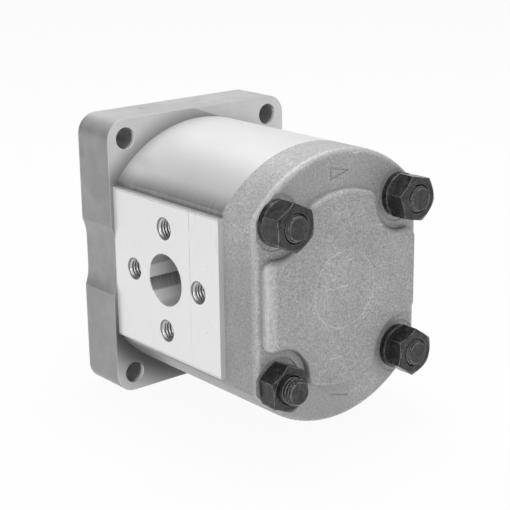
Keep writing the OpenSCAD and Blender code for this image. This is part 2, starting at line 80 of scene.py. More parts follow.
class Signal:
    """A number socket of a node tree that takes part in Python arithmetic."""

    def __init__(self, graph: "Graph", socket: bpy.types.NodeSocket) -> None:
        """Keeps the socket and the graph that it belongs to.

        Args:
            graph: The graph that new Math nodes go into.
            socket: The output socket that carries the value.
        """
        self.graph = graph
        self.socket = socket

    def __add__(self, other: Number) -> "Signal":
        """Returns self + other."""
        return self.graph.math("ADD", self, other)

    __radd__ = __add__

    def __sub__(self, other: Number) -> "Signal":
        """Returns self - other."""
        return self.graph.math("SUBTRACT", self, other)

    def __rsub__(self, other: Number) -> "Signal":
        """Returns other - self."""
        return self.graph.math("SUBTRACT", other, self)

    def __mul__(self, other: Number) -> "Signal":
        """Returns self * other."""
        return self.graph.math("MULTIPLY", self, other)

    __rmul__ = __mul__

    def __truediv__(self, other: Number) -> "Signal":
        """Returns self / other."""
        return self.graph.math("DIVIDE", self, other)

    def __abs__(self) -> "Signal":
        """Returns the size of self."""
        return self.graph.math("ABSOLUTE", self)

    def high(self, low: float, high: float) -> "Signal":
        """Returns 0 below low, 1 above high and a smooth rise between them.

        Args:
            low: The value where the rise starts.
            high: The value where the rise ends.

        Returns:
            The mask, from 0 to 1.
        """
        node = self.graph.node(
            "ShaderNodeMapRange",
            {"interpolation_type": "SMOOTHSTEP", "clamp": True},
            {"Value": self, "From Min": low, "From Max": high, "To Min": 0.0, "To Max": 1.0},
        )
        return Signal(self.graph, node.outputs["Result"])

    def within(self, centre: float, half: float, soft: float) -> "Signal":
        """Returns 1 near centre and 0 further away than half plus soft.

        Args:
            centre: The middle of the band.
            half: Half the band's width.
            soft: The width of each soft edge.

        Returns:
            The mask, from 0 to 1.
        """
        return 1 - abs(self - centre).high(half, half + soft)


class Graph:
    """A material's node tree, with one method for nodes and short ones for patterns."""

    def __init__(self, tree: bpy.types.NodeTree) -> None:
        """Empties the tree and reads the piece's own coordinates.

        Args:
            tree: The node tree to fill.
        """
        self.tree = tree
        self.tree.nodes.clear()
        self._place: Optional[bpy.types.NodeSocket] = None
        self._axes: Optional[bpy.types.Node] = None

    def node(self, kind: str, settings: Optional[dict] = None,
             inputs: Optional[dict] = None) -> bpy.types.Node:
        """Adds one node.

        Args:
            kind: The node's type name.
            settings: Attributes set first; "stops" fills a colour ramp.
            inputs: Values or links by socket name or index.

        Returns:
            The new node.
        """
        node = self.tree.nodes.new(kind)
        for key, value in (settings or {}).items():
            if key == "stops":
                self._fill_ramp(node, value)
            else:
                setattr(node, key, value)
        for key, value in (inputs or {}).items():
            self.feed(node.inputs[key], value)
        return node

    def facing(self, axis: Axis) -> Signal:
        """Returns how far the face's own normal points along one axis, from 0 to 1."""
        normal = self.node("ShaderNodeNewGeometry").outputs["Normal"]
        parts = self.node("ShaderNodeSeparateXYZ", None, {"Vector": normal})
        return abs(Signal(self, parts.outputs[axis.value]))

    def ramp(self, place: Signal, stops: Sequence[tuple[float, Colour]]) -> bpy.types.NodeSocket:
        """Returns a colour read off a ramp.

        Args:
            place: The place along the ramp, from 0 to 1.
            stops: Each stop's place and colour, from low to high.

        Returns:
            The colour.
        """
        return self.node("ShaderNodeValToRGB", {"stops": stops}, {"Fac": place}).outputs["Color"]

    @staticmethod
    def _fill_ramp(node: bpy.types.Node, stops: Sequence[tuple[float, Colour]]) -> None:
        """Sets the stops of a colour ramp.

        Args:
            node: The ramp's node.
            stops: Each stop's place and colour, from low to high.
        """
        ramp = node.color_ramp
        while len(ramp.elements) < len(stops):
            ramp.elements.new(0.5)
        for element, (place, colour) in zip(ramp.elements, stops):
            element.position = place
            element.color = colour

    def feed(self, socket: bpy.types.NodeSocket, value: object) -> None:
        """Links a socket or sets its value.

        Args:
            socket: The input socket.
            value: A Signal, an output socket or a plain value.
        """
        if isinstance(value, Signal):
            self.tree.links.new(value.socket, socket)
        elif isinstance(value, bpy.types.NodeSocket):
            self.tree.links.new(value, socket)
        else:
            socket.default_value = value

    def math(self, operation: str, *values: Number) -> Signal:
        """Adds one Math node.

        Args:
            operation: The node's operation.
            *values: Its operands.

        Returns:
            The result.
        """
        node = self.node("ShaderNodeMath", {"operation": operation}, dict(enumerate(values)))
        return Signal(self, node.outputs[0])

    @property
    def place(self) -> bpy.types.NodeSocket:
        """The piece's Object coordinates."""
        if self._place is None:
            self._place = self.node("ShaderNodeTexCoord").outputs["Object"]
        return self._place

    def along(self, axis: Axis) -> Signal:
        """Returns the place along one axis, in metres."""
        if self._axes is None:
            self._axes = self.node("ShaderNodeSeparateXYZ", None, {"Vector": self.place})
        return Signal(self, self._axes.outputs[axis.value])

    def stretched(self, scale: Sequence[float], turn: Sequence[float] = (0, 0, 0),
                  shift: Sequence[float] = (0, 0, 0)) -> bpy.types.NodeSocket:
        """Returns coordinates that a Mapping node has moved, turned and scaled.

        Args:
            scale: The scale along each axis.
            turn: The turn about each axis, in radians.
            shift: The move along each axis, in metres.

        Returns:
            The mapped coordinates.
        """
        node = self.node("ShaderNodeMapping", {"vector_type": "POINT"},
                         {"Vector": self.place, "Location": shift, "Rotation": turn, "Scale": scale})
        return node.outputs["Vector"]

    def noise(self, scale: float, detail: float = 2.0, rough: float = 0.5,
              where: Optional[bpy.types.NodeSocket] = None) -> Signal:
        """Returns a noise pattern around 0.5.

        Args:
            scale: Features per metre.
            detail: Octaves of finer noise.
            rough: The share of the finer octaves.
            where: Coordinates other than the piece's own.

        Returns:
            The noise.
        """
        node = self.node("ShaderNodeTexNoise", {"noise_dimensions": "3D"},
                         {"Vector": where or self.place, "Scale": scale, "Detail": detail, "Roughness": rough})
        return Signal(self, node.outputs["Fac"])

    def strokes(self, along: Axis, scale: float, length: float, amount: float,
                lean: float = 0.0, seed: float = 0.0) -> Signal:
        """Returns a mask of fine strokes that run along one axis.

        Args:
            along: The axis that the strokes follow.
            scale: Strokes per metre across.
            length: How many times longer than wide a stroke is.
            amount: The share of the surface that they cover, from 0 to 1.
            lean: A small turn of the strokes, in radians.
            seed: A shift that gives another set.

        Returns:
            The mask, from 0 to 1.
        """
        factors = [1.0, 1.0, 1.0]
        factors[list(Axis).index(along)] = 1.0 / length
        where = self.stretched(factors, (lean, lean, lean), (seed, seed * 0.7, seed * 1.3))
        edge = 0.5 + 0.28 * (1 - amount)
        return self.noise(scale, 1.0, 0.4, where).high(edge, edge + 0.07)

    def blend(self, factor: Number, first: object, second: object) -> bpy.types.NodeSocket:
        """Mixes two colours.

        Args:
            factor: The share of the second colour.
            first: A colour or a link.
            second: A colour or a link.

        Returns:
            The mixed colour.
        """
        node = self.node("ShaderNodeMix", {"data_type": "RGBA", "blend_type": "MIX", "clamp_factor": True},
                         {0: factor, 6: first, 7: second})
        return node.outputs[2]

    def edge_wear(self, radius: float, low: float, high: float) -> Signal:
        """Returns a mask of the edges, from how far a rounded normal leaves the face's own.

        Args:
            radius: The width of the edge, in metres.
            low: The difference where the mask starts.
            high: The difference where it is full.

        Returns:
            The mask, from 0 to 1.
        """
        round_normal = self.node("ShaderNodeBevel", {"samples": 4}, {"Radius": radius}).outputs["Normal"]
        own_normal = self.node("ShaderNodeNewGeometry").outputs["Normal"]
        dot = self.node("ShaderNodeVectorMath", {"operation": "DOT_PRODUCT"},
                        {0: round_normal, 1: own_normal})
        return (1 - Signal(self, dot.outputs["Value"])).high(low, high)


@dataclass
class Look:
    """What a finish feeds into its shader."""

    colour: object
    roughness: Number
    metallic: Number
    height: Optional[Signal] = None
    depth: float = 0.0002
    strength: float = 0.5
    edge_radius: float = 0.0


@dataclass(frozen=True)
class Finish(ABC):
    """A surface finish that becomes one material."""

    name: str
    specular: float = 0.5
    anisotropy: float = 0.0
    coat: float = 0.0

    @abstractmethod
    def paint(self, graph: Graph) -> Look:
        """Builds the finish's patterns.

        Args:
            graph: The material's graph.

        Returns:
            The values for the shader.
        """

    def material(self) -> bpy.types.Material:
        """Returns the finished material."""
        material = bpy.data.materials.new(self.name)
        material.use_nodes = True
        graph = Graph(material.node_tree)
        look = self.paint(graph)
        shader = graph.node("ShaderNodeBsdfPrincipled", None, {
            "Base Color": look.colour, "Roughness": look.roughness, "Metallic": look.metallic,
            "Specular IOR Level": self.specular, "Anisotropic": self.anisotropy, "Coat Weight": self.coat})
        normal = None
        if look.edge_radius:
            rounding = graph.node("ShaderNodeBevel", {"samples": 4}, {"Radius": look.edge_radius})
            normal = rounding.outputs["Normal"]
        if look.height is not None:
            bump = graph.node("ShaderNodeBump", None, {
                "Strength": look.strength, "Distance": look.depth, "Height": look.height})
            if normal is not None:
                graph.feed(bump.inputs["Normal"], normal)
            normal = bump.outputs["Normal"]
        if normal is not None:
            graph.feed(shader.inputs["Normal"], normal)
        graph.node("ShaderNodeOutputMaterial", None, {"Surface": shader.outputs["BSDF"]})
        return material


@dataclass(frozen=True)
class CoverCasting(Finish):
    """Blasted die casting: mid grey, grainy, scuffed and paler where its edges are worn, with painted
    highlights along its rounded edges and painted shade on its lower sides and round the nuts.
    """

    dark: float = 0.31
    light: float = 0.6
    ring_r: float = 14.7 * MM
    back_y: float = -105 * MM
    highlight_strip_x: float = -35 * MM
    highlight_strip_half_h: float = 15 * MM
    stud_x: float = 30 * MM
    stud_z: float = 30.1 * MM
    nut_shade_r: float = 12 * MM

    def _scuffs(self, graph: Graph, colour: object) -> bpy.types.NodeSocket:
        """Returns the colour with patches of specks and a few long scratches.

        Args:
            graph: The material's graph.
            colour: The colour below the scuffs.

        Returns:
            The scuffed colour.
        """
        patch = graph.noise(62, 2.0, 0.5).high(0.54, 0.68)
        specks = graph.noise(1500, 1.0, 0.5).high(0.56, 0.64) * patch
        colour = graph.blend(specks * 0.5, colour, grey(0.85))
        place = graph.noise(45, 1.0, 0.5).high(0.48, 0.58)
        scratch = graph.strokes(Axis.X, 700, 10, 0.3, 0.6) * place
        return graph.blend(scratch * 0.55, colour, grey(0.9))

    def _ring(self, graph: Graph) -> Signal:
        """Returns the faint ring that a turning tool left on the raised middle."""
        across = graph.along(Axis.X)
        up = graph.along(Axis.Z) - MID_Z
        radius = graph.math("SQRT", across * across + up * up)
        face = 1 - graph.along(Axis.Y).high(self.back_y + 0.1 * MM, self.back_y + 0.6 * MM)
        broken = graph.noise(150, 2.0, 0.5).high(0.33, 0.62)
        return radius.within(self.ring_r, 0.1 * MM, 0.35 * MM) * face * (0.35 + 0.65 * broken)

    def _step(self, graph: Graph, colour: object) -> bpy.types.NodeSocket:
        """Returns the colour with a painted highlight along the raised middle's left edge and painted shade on
        the walls round the nuts.

        Args:
            graph: The material's graph.
            colour: The colour of the casting.

        Returns:
            The colour round the raised middle's step.
        """
        back = graph.along(Axis.Y)
        raised = 1 - back.high(self.back_y + 1.6 * MM, self.back_y + 2.2 * MM)
        facing = graph.facing(Axis.Y)
        # Painted highlight: a pale strip along the raised middle's left edge, where its rounding catches the
        # light.
        strip = graph.along(Axis.X).within(self.highlight_strip_x, 0.6 * MM, 2.9 * MM)
        span = graph.along(Axis.Z).within(MID_Z, self.highlight_strip_half_h, 2 * MM)
        broken = 0.5 + 0.5 * graph.noise(600, 2.0, 0.6).high(0.35, 0.6)
        colour = graph.blend(strip * span * raised * broken * 0.5, colour, grey(0.85))
        # Painted shade: the walls round the nuts are darkened.
        across = abs(graph.along(Axis.X)) - self.stud_x
        up = abs(graph.along(Axis.Z) - MID_Z) - self.stud_z
        near = 1 - graph.math("SQRT", across * across + up * up).high(self.nut_shade_r, self.nut_shade_r + 2.5 * MM)
        wall = (1 - facing.high(0.5, 0.9)) * near * raised
        return graph.blend(wall * 0.7, colour, grey(0.07))

    def paint(self, graph: Graph) -> Look:
        """Builds the grain, the scuffs, the faint ring, the paler worn edges, the painted highlights on the
        rounded edges and the painted shade on the lower sides.
        """
        fine = graph.noise(3200, 2.0, 0.65)
        coarse = graph.noise(1150, 2.0, 0.5)
        cloud = graph.noise(48, 3.0, 0.5)
        grain = fine * 0.6 + coarse * 0.28 + cloud * 0.12
        colour = graph.blend(grain.high(0.36, 0.64), grey(self.dark), grey(self.light))
        colour = graph.blend(fine.high(0.64, 0.72) * 0.5, colour, grey(0.72))
        colour = graph.blend((1 - fine.high(0.3, 0.38)) * 0.5, colour, grey(0.14))
        colour = self._scuffs(graph, colour)
        ring = self._ring(graph)
        colour = graph.blend(ring * 0.4, colour, grey(0.8))
        # Painted highlight: the rounded edges between the faces are painted paler, and the noise only breaks
        # the highlight up.
        facing = graph.facing(Axis.Y)
        rounded = facing.high(0.12, 0.4) * (1 - facing.high(0.86, 0.985))
        wear_and_sheen = 0.4 + 0.6 * graph.noise(700, 2.0, 0.6).high(0.36, 0.6)
        colour = graph.blend(rounded * wear_and_sheen * 0.25, colour, grey(0.78))
        flank = graph.facing(Axis.X).high(0.55, 0.95)
        edges = graph.edge_wear(0.7 * MM, 0.03, 0.2) * (1 - 0.5 * flank)
        colour = graph.blend(edges * (0.25 + 0.3 * fine), colour, grey(0.75))
        # Painted shade: the side faces are darker towards the bottom.
        low = 1 - graph.along(Axis.Z).high(-8 * MM, 14 * MM)
        colour = graph.blend(flank * low * 0.36, colour, grey(0.2))
        colour = self._step(graph, colour)
        height = fine * 0.6 + coarse * 0.4 + ring * 0.3
        rough = 0.5 + 0.16 * coarse
        return Look(colour, rough, 0.3, height, 0.13 * MM, 0.55, 0.35 * MM)


@dataclass(frozen=True)
class FlangeCasting(Finish):
    """Flange: a milled pale rear face with painted shade round the housing and painted highlights in its
    holes, and darker, mottled sides, painted lighter on the faces that point up or down as a painted
    highlight.
    """

    face: float = 0.78
    side: float = 0.36
    top: float = 0.5
    rear_y: float = -20.5 * MM
    body_r: float = 51.6 * MM
    hole_x: float = 35.75 * MM
    hole_z: float = 48.1 * MM
    hole_r: float = 4.5 * MM
    shade_x: float = -3 * MM
    shade_z: float = 40.1 * MM
    shade_slope: float = 0.39

    def _rear(self, graph: Graph, tone: Signal) -> bpy.types.NodeSocket:
        """Returns the rear face's colour with painted shade: darker towards the housing, with a slanted
        painted shadow edge, and darkest below it.

        Args:
            graph: The material's graph.
            tone: The cloudy variation.

        Returns:
            The colour.
        """
        lines = graph.strokes(Axis.X, 2600, 30, 0.5)
        milled = graph.blend(tone * 0.6 + lines * 0.4, grey(self.face * 0.92), grey(self.face * 1.05))
        across = graph.along(Axis.X)
        up = graph.along(Axis.Z) - MID_Z
        radius = graph.math("SQRT", across * across + up * up)
        # Painted shade round the housing, weaker on the lit side of a slanted painted shadow edge, and darkest
        # below the housing.
        near = 1 - radius.high(self.body_r - 1 * MM, self.body_r + 9 * MM)
        low = 1 - graph.along(Axis.Z).high(-48 * MM, -24 * MM)
        wide = (1 - radius.high(self.body_r, self.body_r + 17 * MM)) * low
        beyond = graph.along(Axis.Z) - self.shade_z + self.shade_slope * (across - self.shade_x)
        lit = beyond.high(-0.3 * MM, 0.5 * MM)
        shade = graph.blend(near * (1 - 0.7 * lit) * 0.85, milled, grey(0.24))
        return graph.blend(wide * 0.9, shade, grey(0.06))

    def _lip(self, graph: Graph) -> Signal:
        """Returns the mask of the painted highlight at the lower right of each hole's mouth."""
        across = graph.along(Axis.X)
        up = graph.along(Axis.Z) - MID_Z
        right = across - graph.math("SIGN", across) * self.hole_x
        high = up - graph.math("SIGN", up) * self.hole_z
        hole = 1 - graph.math("SQRT", right * right + high * high).high(self.hole_r, self.hole_r + 0.1 * MM)
        depth = graph.along(Axis.Y) - self.rear_y
        mouth = depth.high(0.02 * MM, 0.06 * MM) * (1 - depth.high(1.6 * MM, 2.0 * MM))
        return hole * mouth * (right - 0.6 * high).high(2.2 * MM, 3.2 * MM)

    def paint(self, graph: Graph) -> Look:
        """Builds the mottled sides with painted highlights on the faces that point up or down, the milled face
        with its painted shade, the stains and the painted highlights in the holes.
        """
        fine = graph.noise(2200, 2.0, 0.6)
        mottle = graph.noise(120, 4.0, 0.6)
        cloud = graph.noise(28, 3.0, 0.5)
        tone = (mottle * 0.6 + cloud * 0.4).high(0.3, 0.7)
        sides = graph.blend(tone, grey(self.side * 0.84), grey(self.side * 1.12))
        # Painted highlight: faces that point up or down get a lighter copy of the sides' tone.
        upward = graph.facing(Axis.Z).high(0.25, 0.9)
        lit_crown = graph.blend(tone, grey(self.top * 0.9), grey(self.top * 1.08))
        colour = graph.blend(upward, sides, lit_crown)
        rear = 1 - graph.along(Axis.Y).high(self.rear_y + 0.05 * MM, self.rear_y + 0.3 * MM)
        colour = graph.blend(rear, colour, self._rear(graph, tone))
        stain = graph.noise(85, 3.0, 0.6).high(0.58, 0.74) * (1 - rear) * graph.along(Axis.Z).high(-0.02, 0.03)
        colour = graph.blend(stain * 0.4, colour, grey(0.14))
        scuff = graph.strokes(Axis.Y, 900, 8, 0.2, 0.5) * (1 - rear) * mottle.high(0.5, 0.62)
        colour = graph.blend(scuff * 0.3, colour, grey(0.7))
        colour = graph.blend(fine.high(0.64, 0.72) * 0.22, colour, grey(0.75))
        edges = graph.edge_wear(0.8 * MM, 0.03, 0.2)
        colour = graph.blend(edges * 0.5, colour, grey(0.85))
        # Painted highlight at the lower right inside each hole's mouth.
        colour = graph.blend(self._lip(graph), colour, grey(1.0))
        height = fine * 0.7 + mottle * 0.3
        return Look(colour, 0.4 + 0.16 * mottle, 0.4, height, 0.08 * MM, 0.4, 0.4 * MM)


@dataclass(frozen=True)
class DrawnHousing(Finish):
    """Drawn aluminium with brushed curves, bright milled port pads and bored ports, with a painted dark band
    above the pads, painted shade below them and painted light in the bores.
    """

    body: float = 0.78
    pad: float = 0.88
    pad_x: float = 42.3 * MM
    pad_top: float = 14.6 * MM
    pass_y: float = -68.5 * MM
    port_y: float = -53 * MM
    bore_r: float = 10.15 * MM
    pad_face: float = 42.5 * MM
    pad_foot: float = -46 * MM
    bolt_ring: float = 20 * MM
    bolt_mouth_r: float = 4.6 * MM

    def _marks(self, graph: Graph, bright: object) -> tuple[bpy.types.NodeSocket, Signal]:
        """Returns the milled pad's colour with its tool marks, and the marks' height.

        Args:
            graph: The material's graph.
            bright: The clean milled colour.

        Returns:
            The marked colour, and the marks as a mask.
        """
        late = 1 - graph.along(Axis.Y).high(self.pass_y - 1.5 * MM, self.pass_y + 1.5 * MM)
        place = graph.noise(110, 2.0, 0.5).high(0.42, 0.62)
        dark_lines = graph.strokes(Axis.Z, 950, 11, 0.14, 0.16, 0.3) * place * (0.35 + 0.65 * late)
        bright = graph.blend(dark_lines * 0.5, bright, grey(0.36))
        line = graph.along(Axis.Y).within(self.pass_y, 0.05 * MM, 0.14 * MM)
        upper = 0.35 + 0.65 * graph.along(Axis.Z).high(-24 * MM, -8 * MM)
        wear_and_sheen = graph.noise(120, 2.0, 0.5).high(0.3, 0.55)
        bright = graph.blend(line * wear_and_sheen * upper * 0.6, bright, grey(0.25))
        rim = abs(graph.along(Axis.Z) - MID_Z) + MID_Z
        burr = rim.within(self.pad_top - 0.75 * MM, 0.08 * MM, 0.12 * MM)
        bright = graph.blend(burr * 0.55, bright, grey(0.4))
        nicks = graph.noise(800, 1.0, 0.5).high(0.7, 0.76) * place
        bright = graph.blend(nicks * 0.5, bright, grey(0.4))
        return bright, dark_lines + line + burr

    def _bore(self, graph: Graph) -> bpy.types.NodeSocket:
        """Returns the bored wall's tone: painted bands of reflection and shadow along the bore, a painted
        highlight on its lower side, painted shade deeper in and fine tool lines.
        """
        rise = (graph.along(Axis.Z) - MID_Z) / (20 * MM) + 0.5
        # Painted reflection and shadow: bands along the bore, with a painted highlight on its lower side.
        bore_light_bands = graph.ramp(rise, (
            (0.0, grey(0.6)), (0.06, grey(1.0)), (0.18, grey(1.0)), (0.22, grey(0.42)), (0.3, grey(0.34)),
            (0.43, grey(0.14)), (0.45, grey(0.95)), (0.68, grey(0.85)), (0.72, grey(0.42)), (1.0, grey(0.4))))
        # Painted shade deeper in the bore, towards the housing's middle.
        deeper_shade = 1 - abs(graph.along(Axis.X)).high(28 * MM, 40 * MM)
        lines = graph.noise(2400, 1.0, 0.5, graph.stretched((1.0, 0.04, 0.04)))
        bore_light_bands = graph.blend(deeper_shade * 0.4, bore_light_bands, grey(0.12))
        return graph.blend(lines.high(0.45, 0.6) * 0.18, bore_light_bands, grey(0.75))

    def paint(self, graph: Graph) -> Look:
        """Builds the brushed curve with its painted shade above and below the pads, the milled pads and the
        bored ports with their painted light.
        """
        fine = graph.noise(2400, 2.0, 0.5)
        cloud = graph.noise(35, 3.0, 0.5)
        brush = graph.noise(4200, 2.0, 0.6, graph.stretched((0.03, 1.0, 0.03)))
        satin = brush * 0.35 + cloud * 0.3 + fine * 0.35
        colour = graph.blend(satin.high(0.3, 0.7), grey(self.body * 0.95), grey(self.body * 1.03))
        rise = graph.along(Axis.Z)
        # Painted shade: a dark band on the curve just above the pads' top ledge, broken up by streaks.
        ledge_shade = 1 - rise.high(self.pad_top + 0.5 * MM, self.pad_top + 8.5 * MM)
        ledge_shade = ledge_shade * (0.45 + 0.55 * rise.high(self.pad_top + 0.02 * MM, self.pad_top + 0.1 * MM))
        ledge_shade = ledge_shade * rise.high(self.pad_top - 0.2 * MM, self.pad_top - 0.1 * MM)
        streak = 0.75 + 0.5 * graph.noise(1500, 2.0, 0.6, graph.stretched((0.06, 1.0, 0.06)))
        colour = graph.blend(ledge_shade * streak * 0.85, colour, grey(0.16))
        # Painted shade: the housing is darker below the pads' lower edge.
        shade_under_pads = 1 - rise.high(self.pad_foot - 0.5 * MM, self.pad_foot + 0.5 * MM)
        colour = graph.blend(shade_under_pads * 0.8, colour, grey(0.25))
        across = abs(graph.along(Axis.X))
        pad = across.high(self.pad_x - 0.15 * MM, self.pad_x)
        fine_lines = graph.strokes(Axis.Z, 1500, 22, 0.4, 0.12)
        clean = graph.blend(fine_lines, grey(self.pad), grey(self.pad * 0.965))
        milled, marks = self._marks(graph, clean)
        colour = graph.blend(pad, colour, milled)
        back = graph.along(Axis.Y) - self.port_y
        up = graph.along(Axis.Z) - MID_Z
        radius = graph.math("SQRT", back * back + up * up)
        bore = (1 - radius.high(self.bore_r, self.bore_r + 0.05 * MM)) * across.high(19 * MM, 20 * MM)
        # The bores take their painted light and shade.
        colour = graph.blend(bore, colour, self._bore(graph))
        inward = graph.along(Axis.X) + self.pad_face
        bolts = radius.within(self.bolt_ring, self.bolt_mouth_r, 0.1 * MM)
        mouths = bolts * inward.high(0.03 * MM, 0.06 * MM) * (1 - inward.high(1 * MM, 1.2 * MM))
        colour = graph.blend(mouths * 0.9, colour, grey(0.2))
        height = brush * (1 - pad) + (fine_lines + marks) * pad * -0.6
        rough = (0.36 + 0.08 * cloud + 0.08 * fine_lines * pad) * (1 - bore) + 0.3 * bore
        metal = 0.45 * (1 - bore)
        return Look(colour, rough, metal, height, 0.03 * MM, 0.3, 0.2 * MM)


@dataclass(frozen=True)
class BlackOxide(Finish):
    """Oiled black oxide on steel, worn bright along its edges."""

    base: float = 0.045
    wear: float = 0.7
    edge: float = 0.5 * MM

    def paint(self, graph: Graph) -> Look:
        """Builds the oily black, its scratches and its bright edges."""
        mottle = graph.noise(420, 3.0, 0.6)
        fine = graph.noise(2600, 2.0, 0.5)
        colour = graph.blend(mottle.high(0.3, 0.7), grey(self.base * 0.7), grey(self.base * 1.5))
        scratch = graph.strokes(Axis.Z, 1500, 10, 0.1, 0.5)
        nicks = fine.high(0.66, 0.74) * graph.noise(300, 1.0, 0.5).high(0.5, 0.6)
        colour = graph.blend(scratch * 0.12 + nicks * 0.25, colour, grey(self.wear * 0.6))
        edges = graph.edge_wear(self.edge, 0.03, 0.2) * graph.noise(500, 2.0, 0.6).high(0.25, 0.55)
        colour = graph.blend(edges * 0.75, colour, grey(self.wear))
        rough = 0.17 + 0.2 * mottle
        height = fine * 0.5 + mottle * 0.5
        return Look(colour, rough, 0.55, height, 0.03 * MM, 0.2, 0.25 * MM)


@dataclass(frozen=True)
class MachinedMetal(Finish):
    """Turned or ground metal with fine lines round or along it."""

    colour: Colour = grey(0.5)
    rough: float = 0.28
    lines: Axis = Axis.Y
    metal: float = 0.9

    def paint(self, graph: Graph) -> Look:
        """Builds the fine tool lines and a little staining."""
        factors = [0.05, 0.05, 0.05]
        factors[list(Axis).index(self.lines)] = 1.0
        line = graph.noise(3000, 2.0, 0.6, graph.stretched(factors))
        cloud = graph.noise(80, 3.0, 0.5)
        dark = tuple(c * 0.78 for c in self.colour[:3]) + (1.0,)
        colour = graph.blend((line * 0.6 + cloud * 0.4).high(0.3, 0.7), dark, self.colour)
        edges = graph.edge_wear(0.3 * MM, 0.04, 0.25)
        pale = tuple(min(1.0, c * 1.3) for c in self.colour[:3]) + (1.0,)
        colour = graph.blend(edges * 0.4, colour, pale)
        return Look(colour, self.rough + 0.14 * cloud, self.metal, line, 0.02 * MM, 0.3)


@dataclass(frozen=True)
class Moulded(Finish):
    """Moulded rubber or plastic with a fine matt skin."""

    colour: Colour = grey(0.02)
    rough: float = 0.6

    def paint(self, graph: Graph) -> Look:
        """Builds the matt skin and a little bloom."""
        skin = graph.noise(1800, 2.0, 0.5)
        bloom = graph.noise(120, 3.0, 0.6)
        pale = tuple(min(1.0, c * 1.5 + 0.01) for c in self.colour[:3]) + (1.0,)
        colour = graph.blend(bloom.high(0.35, 0.75), self.colour, pale)
        return Look(colour, self.rough + 0.15 * skin, 0.0, skin, 0.05 * MM, 0.3)


class FinishBook:
    """Every finish of the pump, made once and handed out by name."""

    def __init__(self) -> None:
        """Makes all materials."""
        steel = tint(0.5, 0.5, 0.52)
        finishes = (
            CoverCasting("cover_casting"), FlangeCasting("flange_casting"), DrawnHousing("drawn_housing"),
            BlackOxide("black_oxide"), BlackOxide("black_oxide_nut", base=0.04),
            MachinedMetal("ground_steel", colour=steel, rough=0.24),
            MachinedMetal("machined_block", colour=grey(0.62), rough=0.32),
            MachinedMetal("bearing_bronze", colour=tint(0.55, 0.33, 0.16), rough=0.35),
            MachinedMetal("spring_steel", colour=grey(0.45), rough=0.3, lines=Axis.X),
            Moulded("seal_rubber", colour=grey(0.018)),
            Moulded("backup_plastic", colour=tint(0.68, 0.64, 0.52)),
            Moulded("coated_case", colour=grey(0.035), rough=0.42),
        )
        self._materials = {finish.name: finish.material() for finish in finishes}

    def __getitem__(self, name: str) -> bpy.types.Material:
        """Returns one material."""
        return self._materials[name]

    def dress(self, piece: bpy.types.Object, name: str) -> None:
        """Puts one material on a whole piece.

        Args:
            piece: The piece or CAD node.
            name: The finish's name.
        """
        if piece.data.materials:
            for index in range(len(piece.data.materials)):
                piece.data.materials[index] = self[name]
        else:
            piece.data.materials.append(self[name])


def finish_mesh(bm: bmesh.types.BMesh, name: str, sharp: float = 32.0) -> bpy.types.Object:
    """Turns a bmesh into a piece in the scene.

    Args:
        bm: The finished bmesh, which is freed.
        name: The piece's name.
        sharp: The angle in degrees above which an edge stays sharp.

    Returns:
        The new object.
    """
    mesh = bpy.data.meshes.new(name)
    bm.to_mesh(mesh)
    bm.free()
    mesh.shade_smooth()
    mesh.set_sharp_from_angle(angle=math.radians(sharp))
    piece = bpy.data.objects.new(name, mesh)
    bpy.context.scene.collection.objects.link(piece)
    return piece


@dataclass
class Thread:
    """A helical thread surface about +Z, from the profile of one pitch."""

    crest: float
    root: float
    pitch: float
    low: float
    high: float
    steps: int = 40

    def skin(self, bm: bmesh.types.BMesh) -> None:
        """Spins the thread's profile along its helix and trims its ends.

        Args:
            bm: The bmesh that the surface goes into.
        """
        turns = math.ceil((self.high - self.low) / self.pitch) + 2
        start = self.low - self.pitch
        shape = ((self.root, 0.08), (self.crest, 0.44), (self.crest, 0.56), (self.root, 0.92))
        points = [(radius, start + (turn + share) * self.pitch)
                  for turn in range(turns) for radius, share in shape]
        line = [bm.verts.new((radius, 0, height)) for radius, height in points]
        edges = [bm.edges.new(pair) for pair in zip(line, line[1:])]
        bmesh.ops.spin(bm, geom=line + edges, cent=(0, 0, 0), axis=(0, 0, 1),
                       dvec=(0, 0, self.pitch / self.steps), angle=TURN, steps=self.steps,
                       use_merge=False, use_duplicate=False)
        bmesh.ops.remove_doubles(bm, verts=bm.verts[:], dist=1e-7)
        for height, side in ((self.low, -1), (self.high, 1)):
            geom = bm.verts[:] + bm.edges[:] + bm.faces[:]
            bmesh.ops.bisect_plane(bm, geom=geom, dist=1e-8, plane_co=(0, 0, height), plane_no=(0, 0, side),
                                   clear_outer=True, clear_inner=False)

    @staticmethod
    def rims(bm: bmesh.types.BMesh) -> tuple[list[bmesh.types.BMEdge], list[bmesh.types.BMEdge]]:
        """Returns the open edges at the low end and at the high end."""
        open_edges = [edge for edge in bm.edges if edge.is_boundary]
        middle = sum(edge.verts[0].co.z for edge in open_edges) / len(open_edges)
        low = [edge for edge in open_edges if edge.verts[0].co.z < middle]
        high = [edge for edge in open_edges if edge.verts[0].co.z >= middle]
        return low, high


def set_radius(vert: bmesh.types.BMVert, radius: float) -> None:
    """Moves a vertex straight out from or in to the Z axis."""
    flat = math.hypot(vert.co.x, vert.co.y)
    if flat > 0:
        vert.co.x *= radius / flat
        vert.co.y *= radius / flat


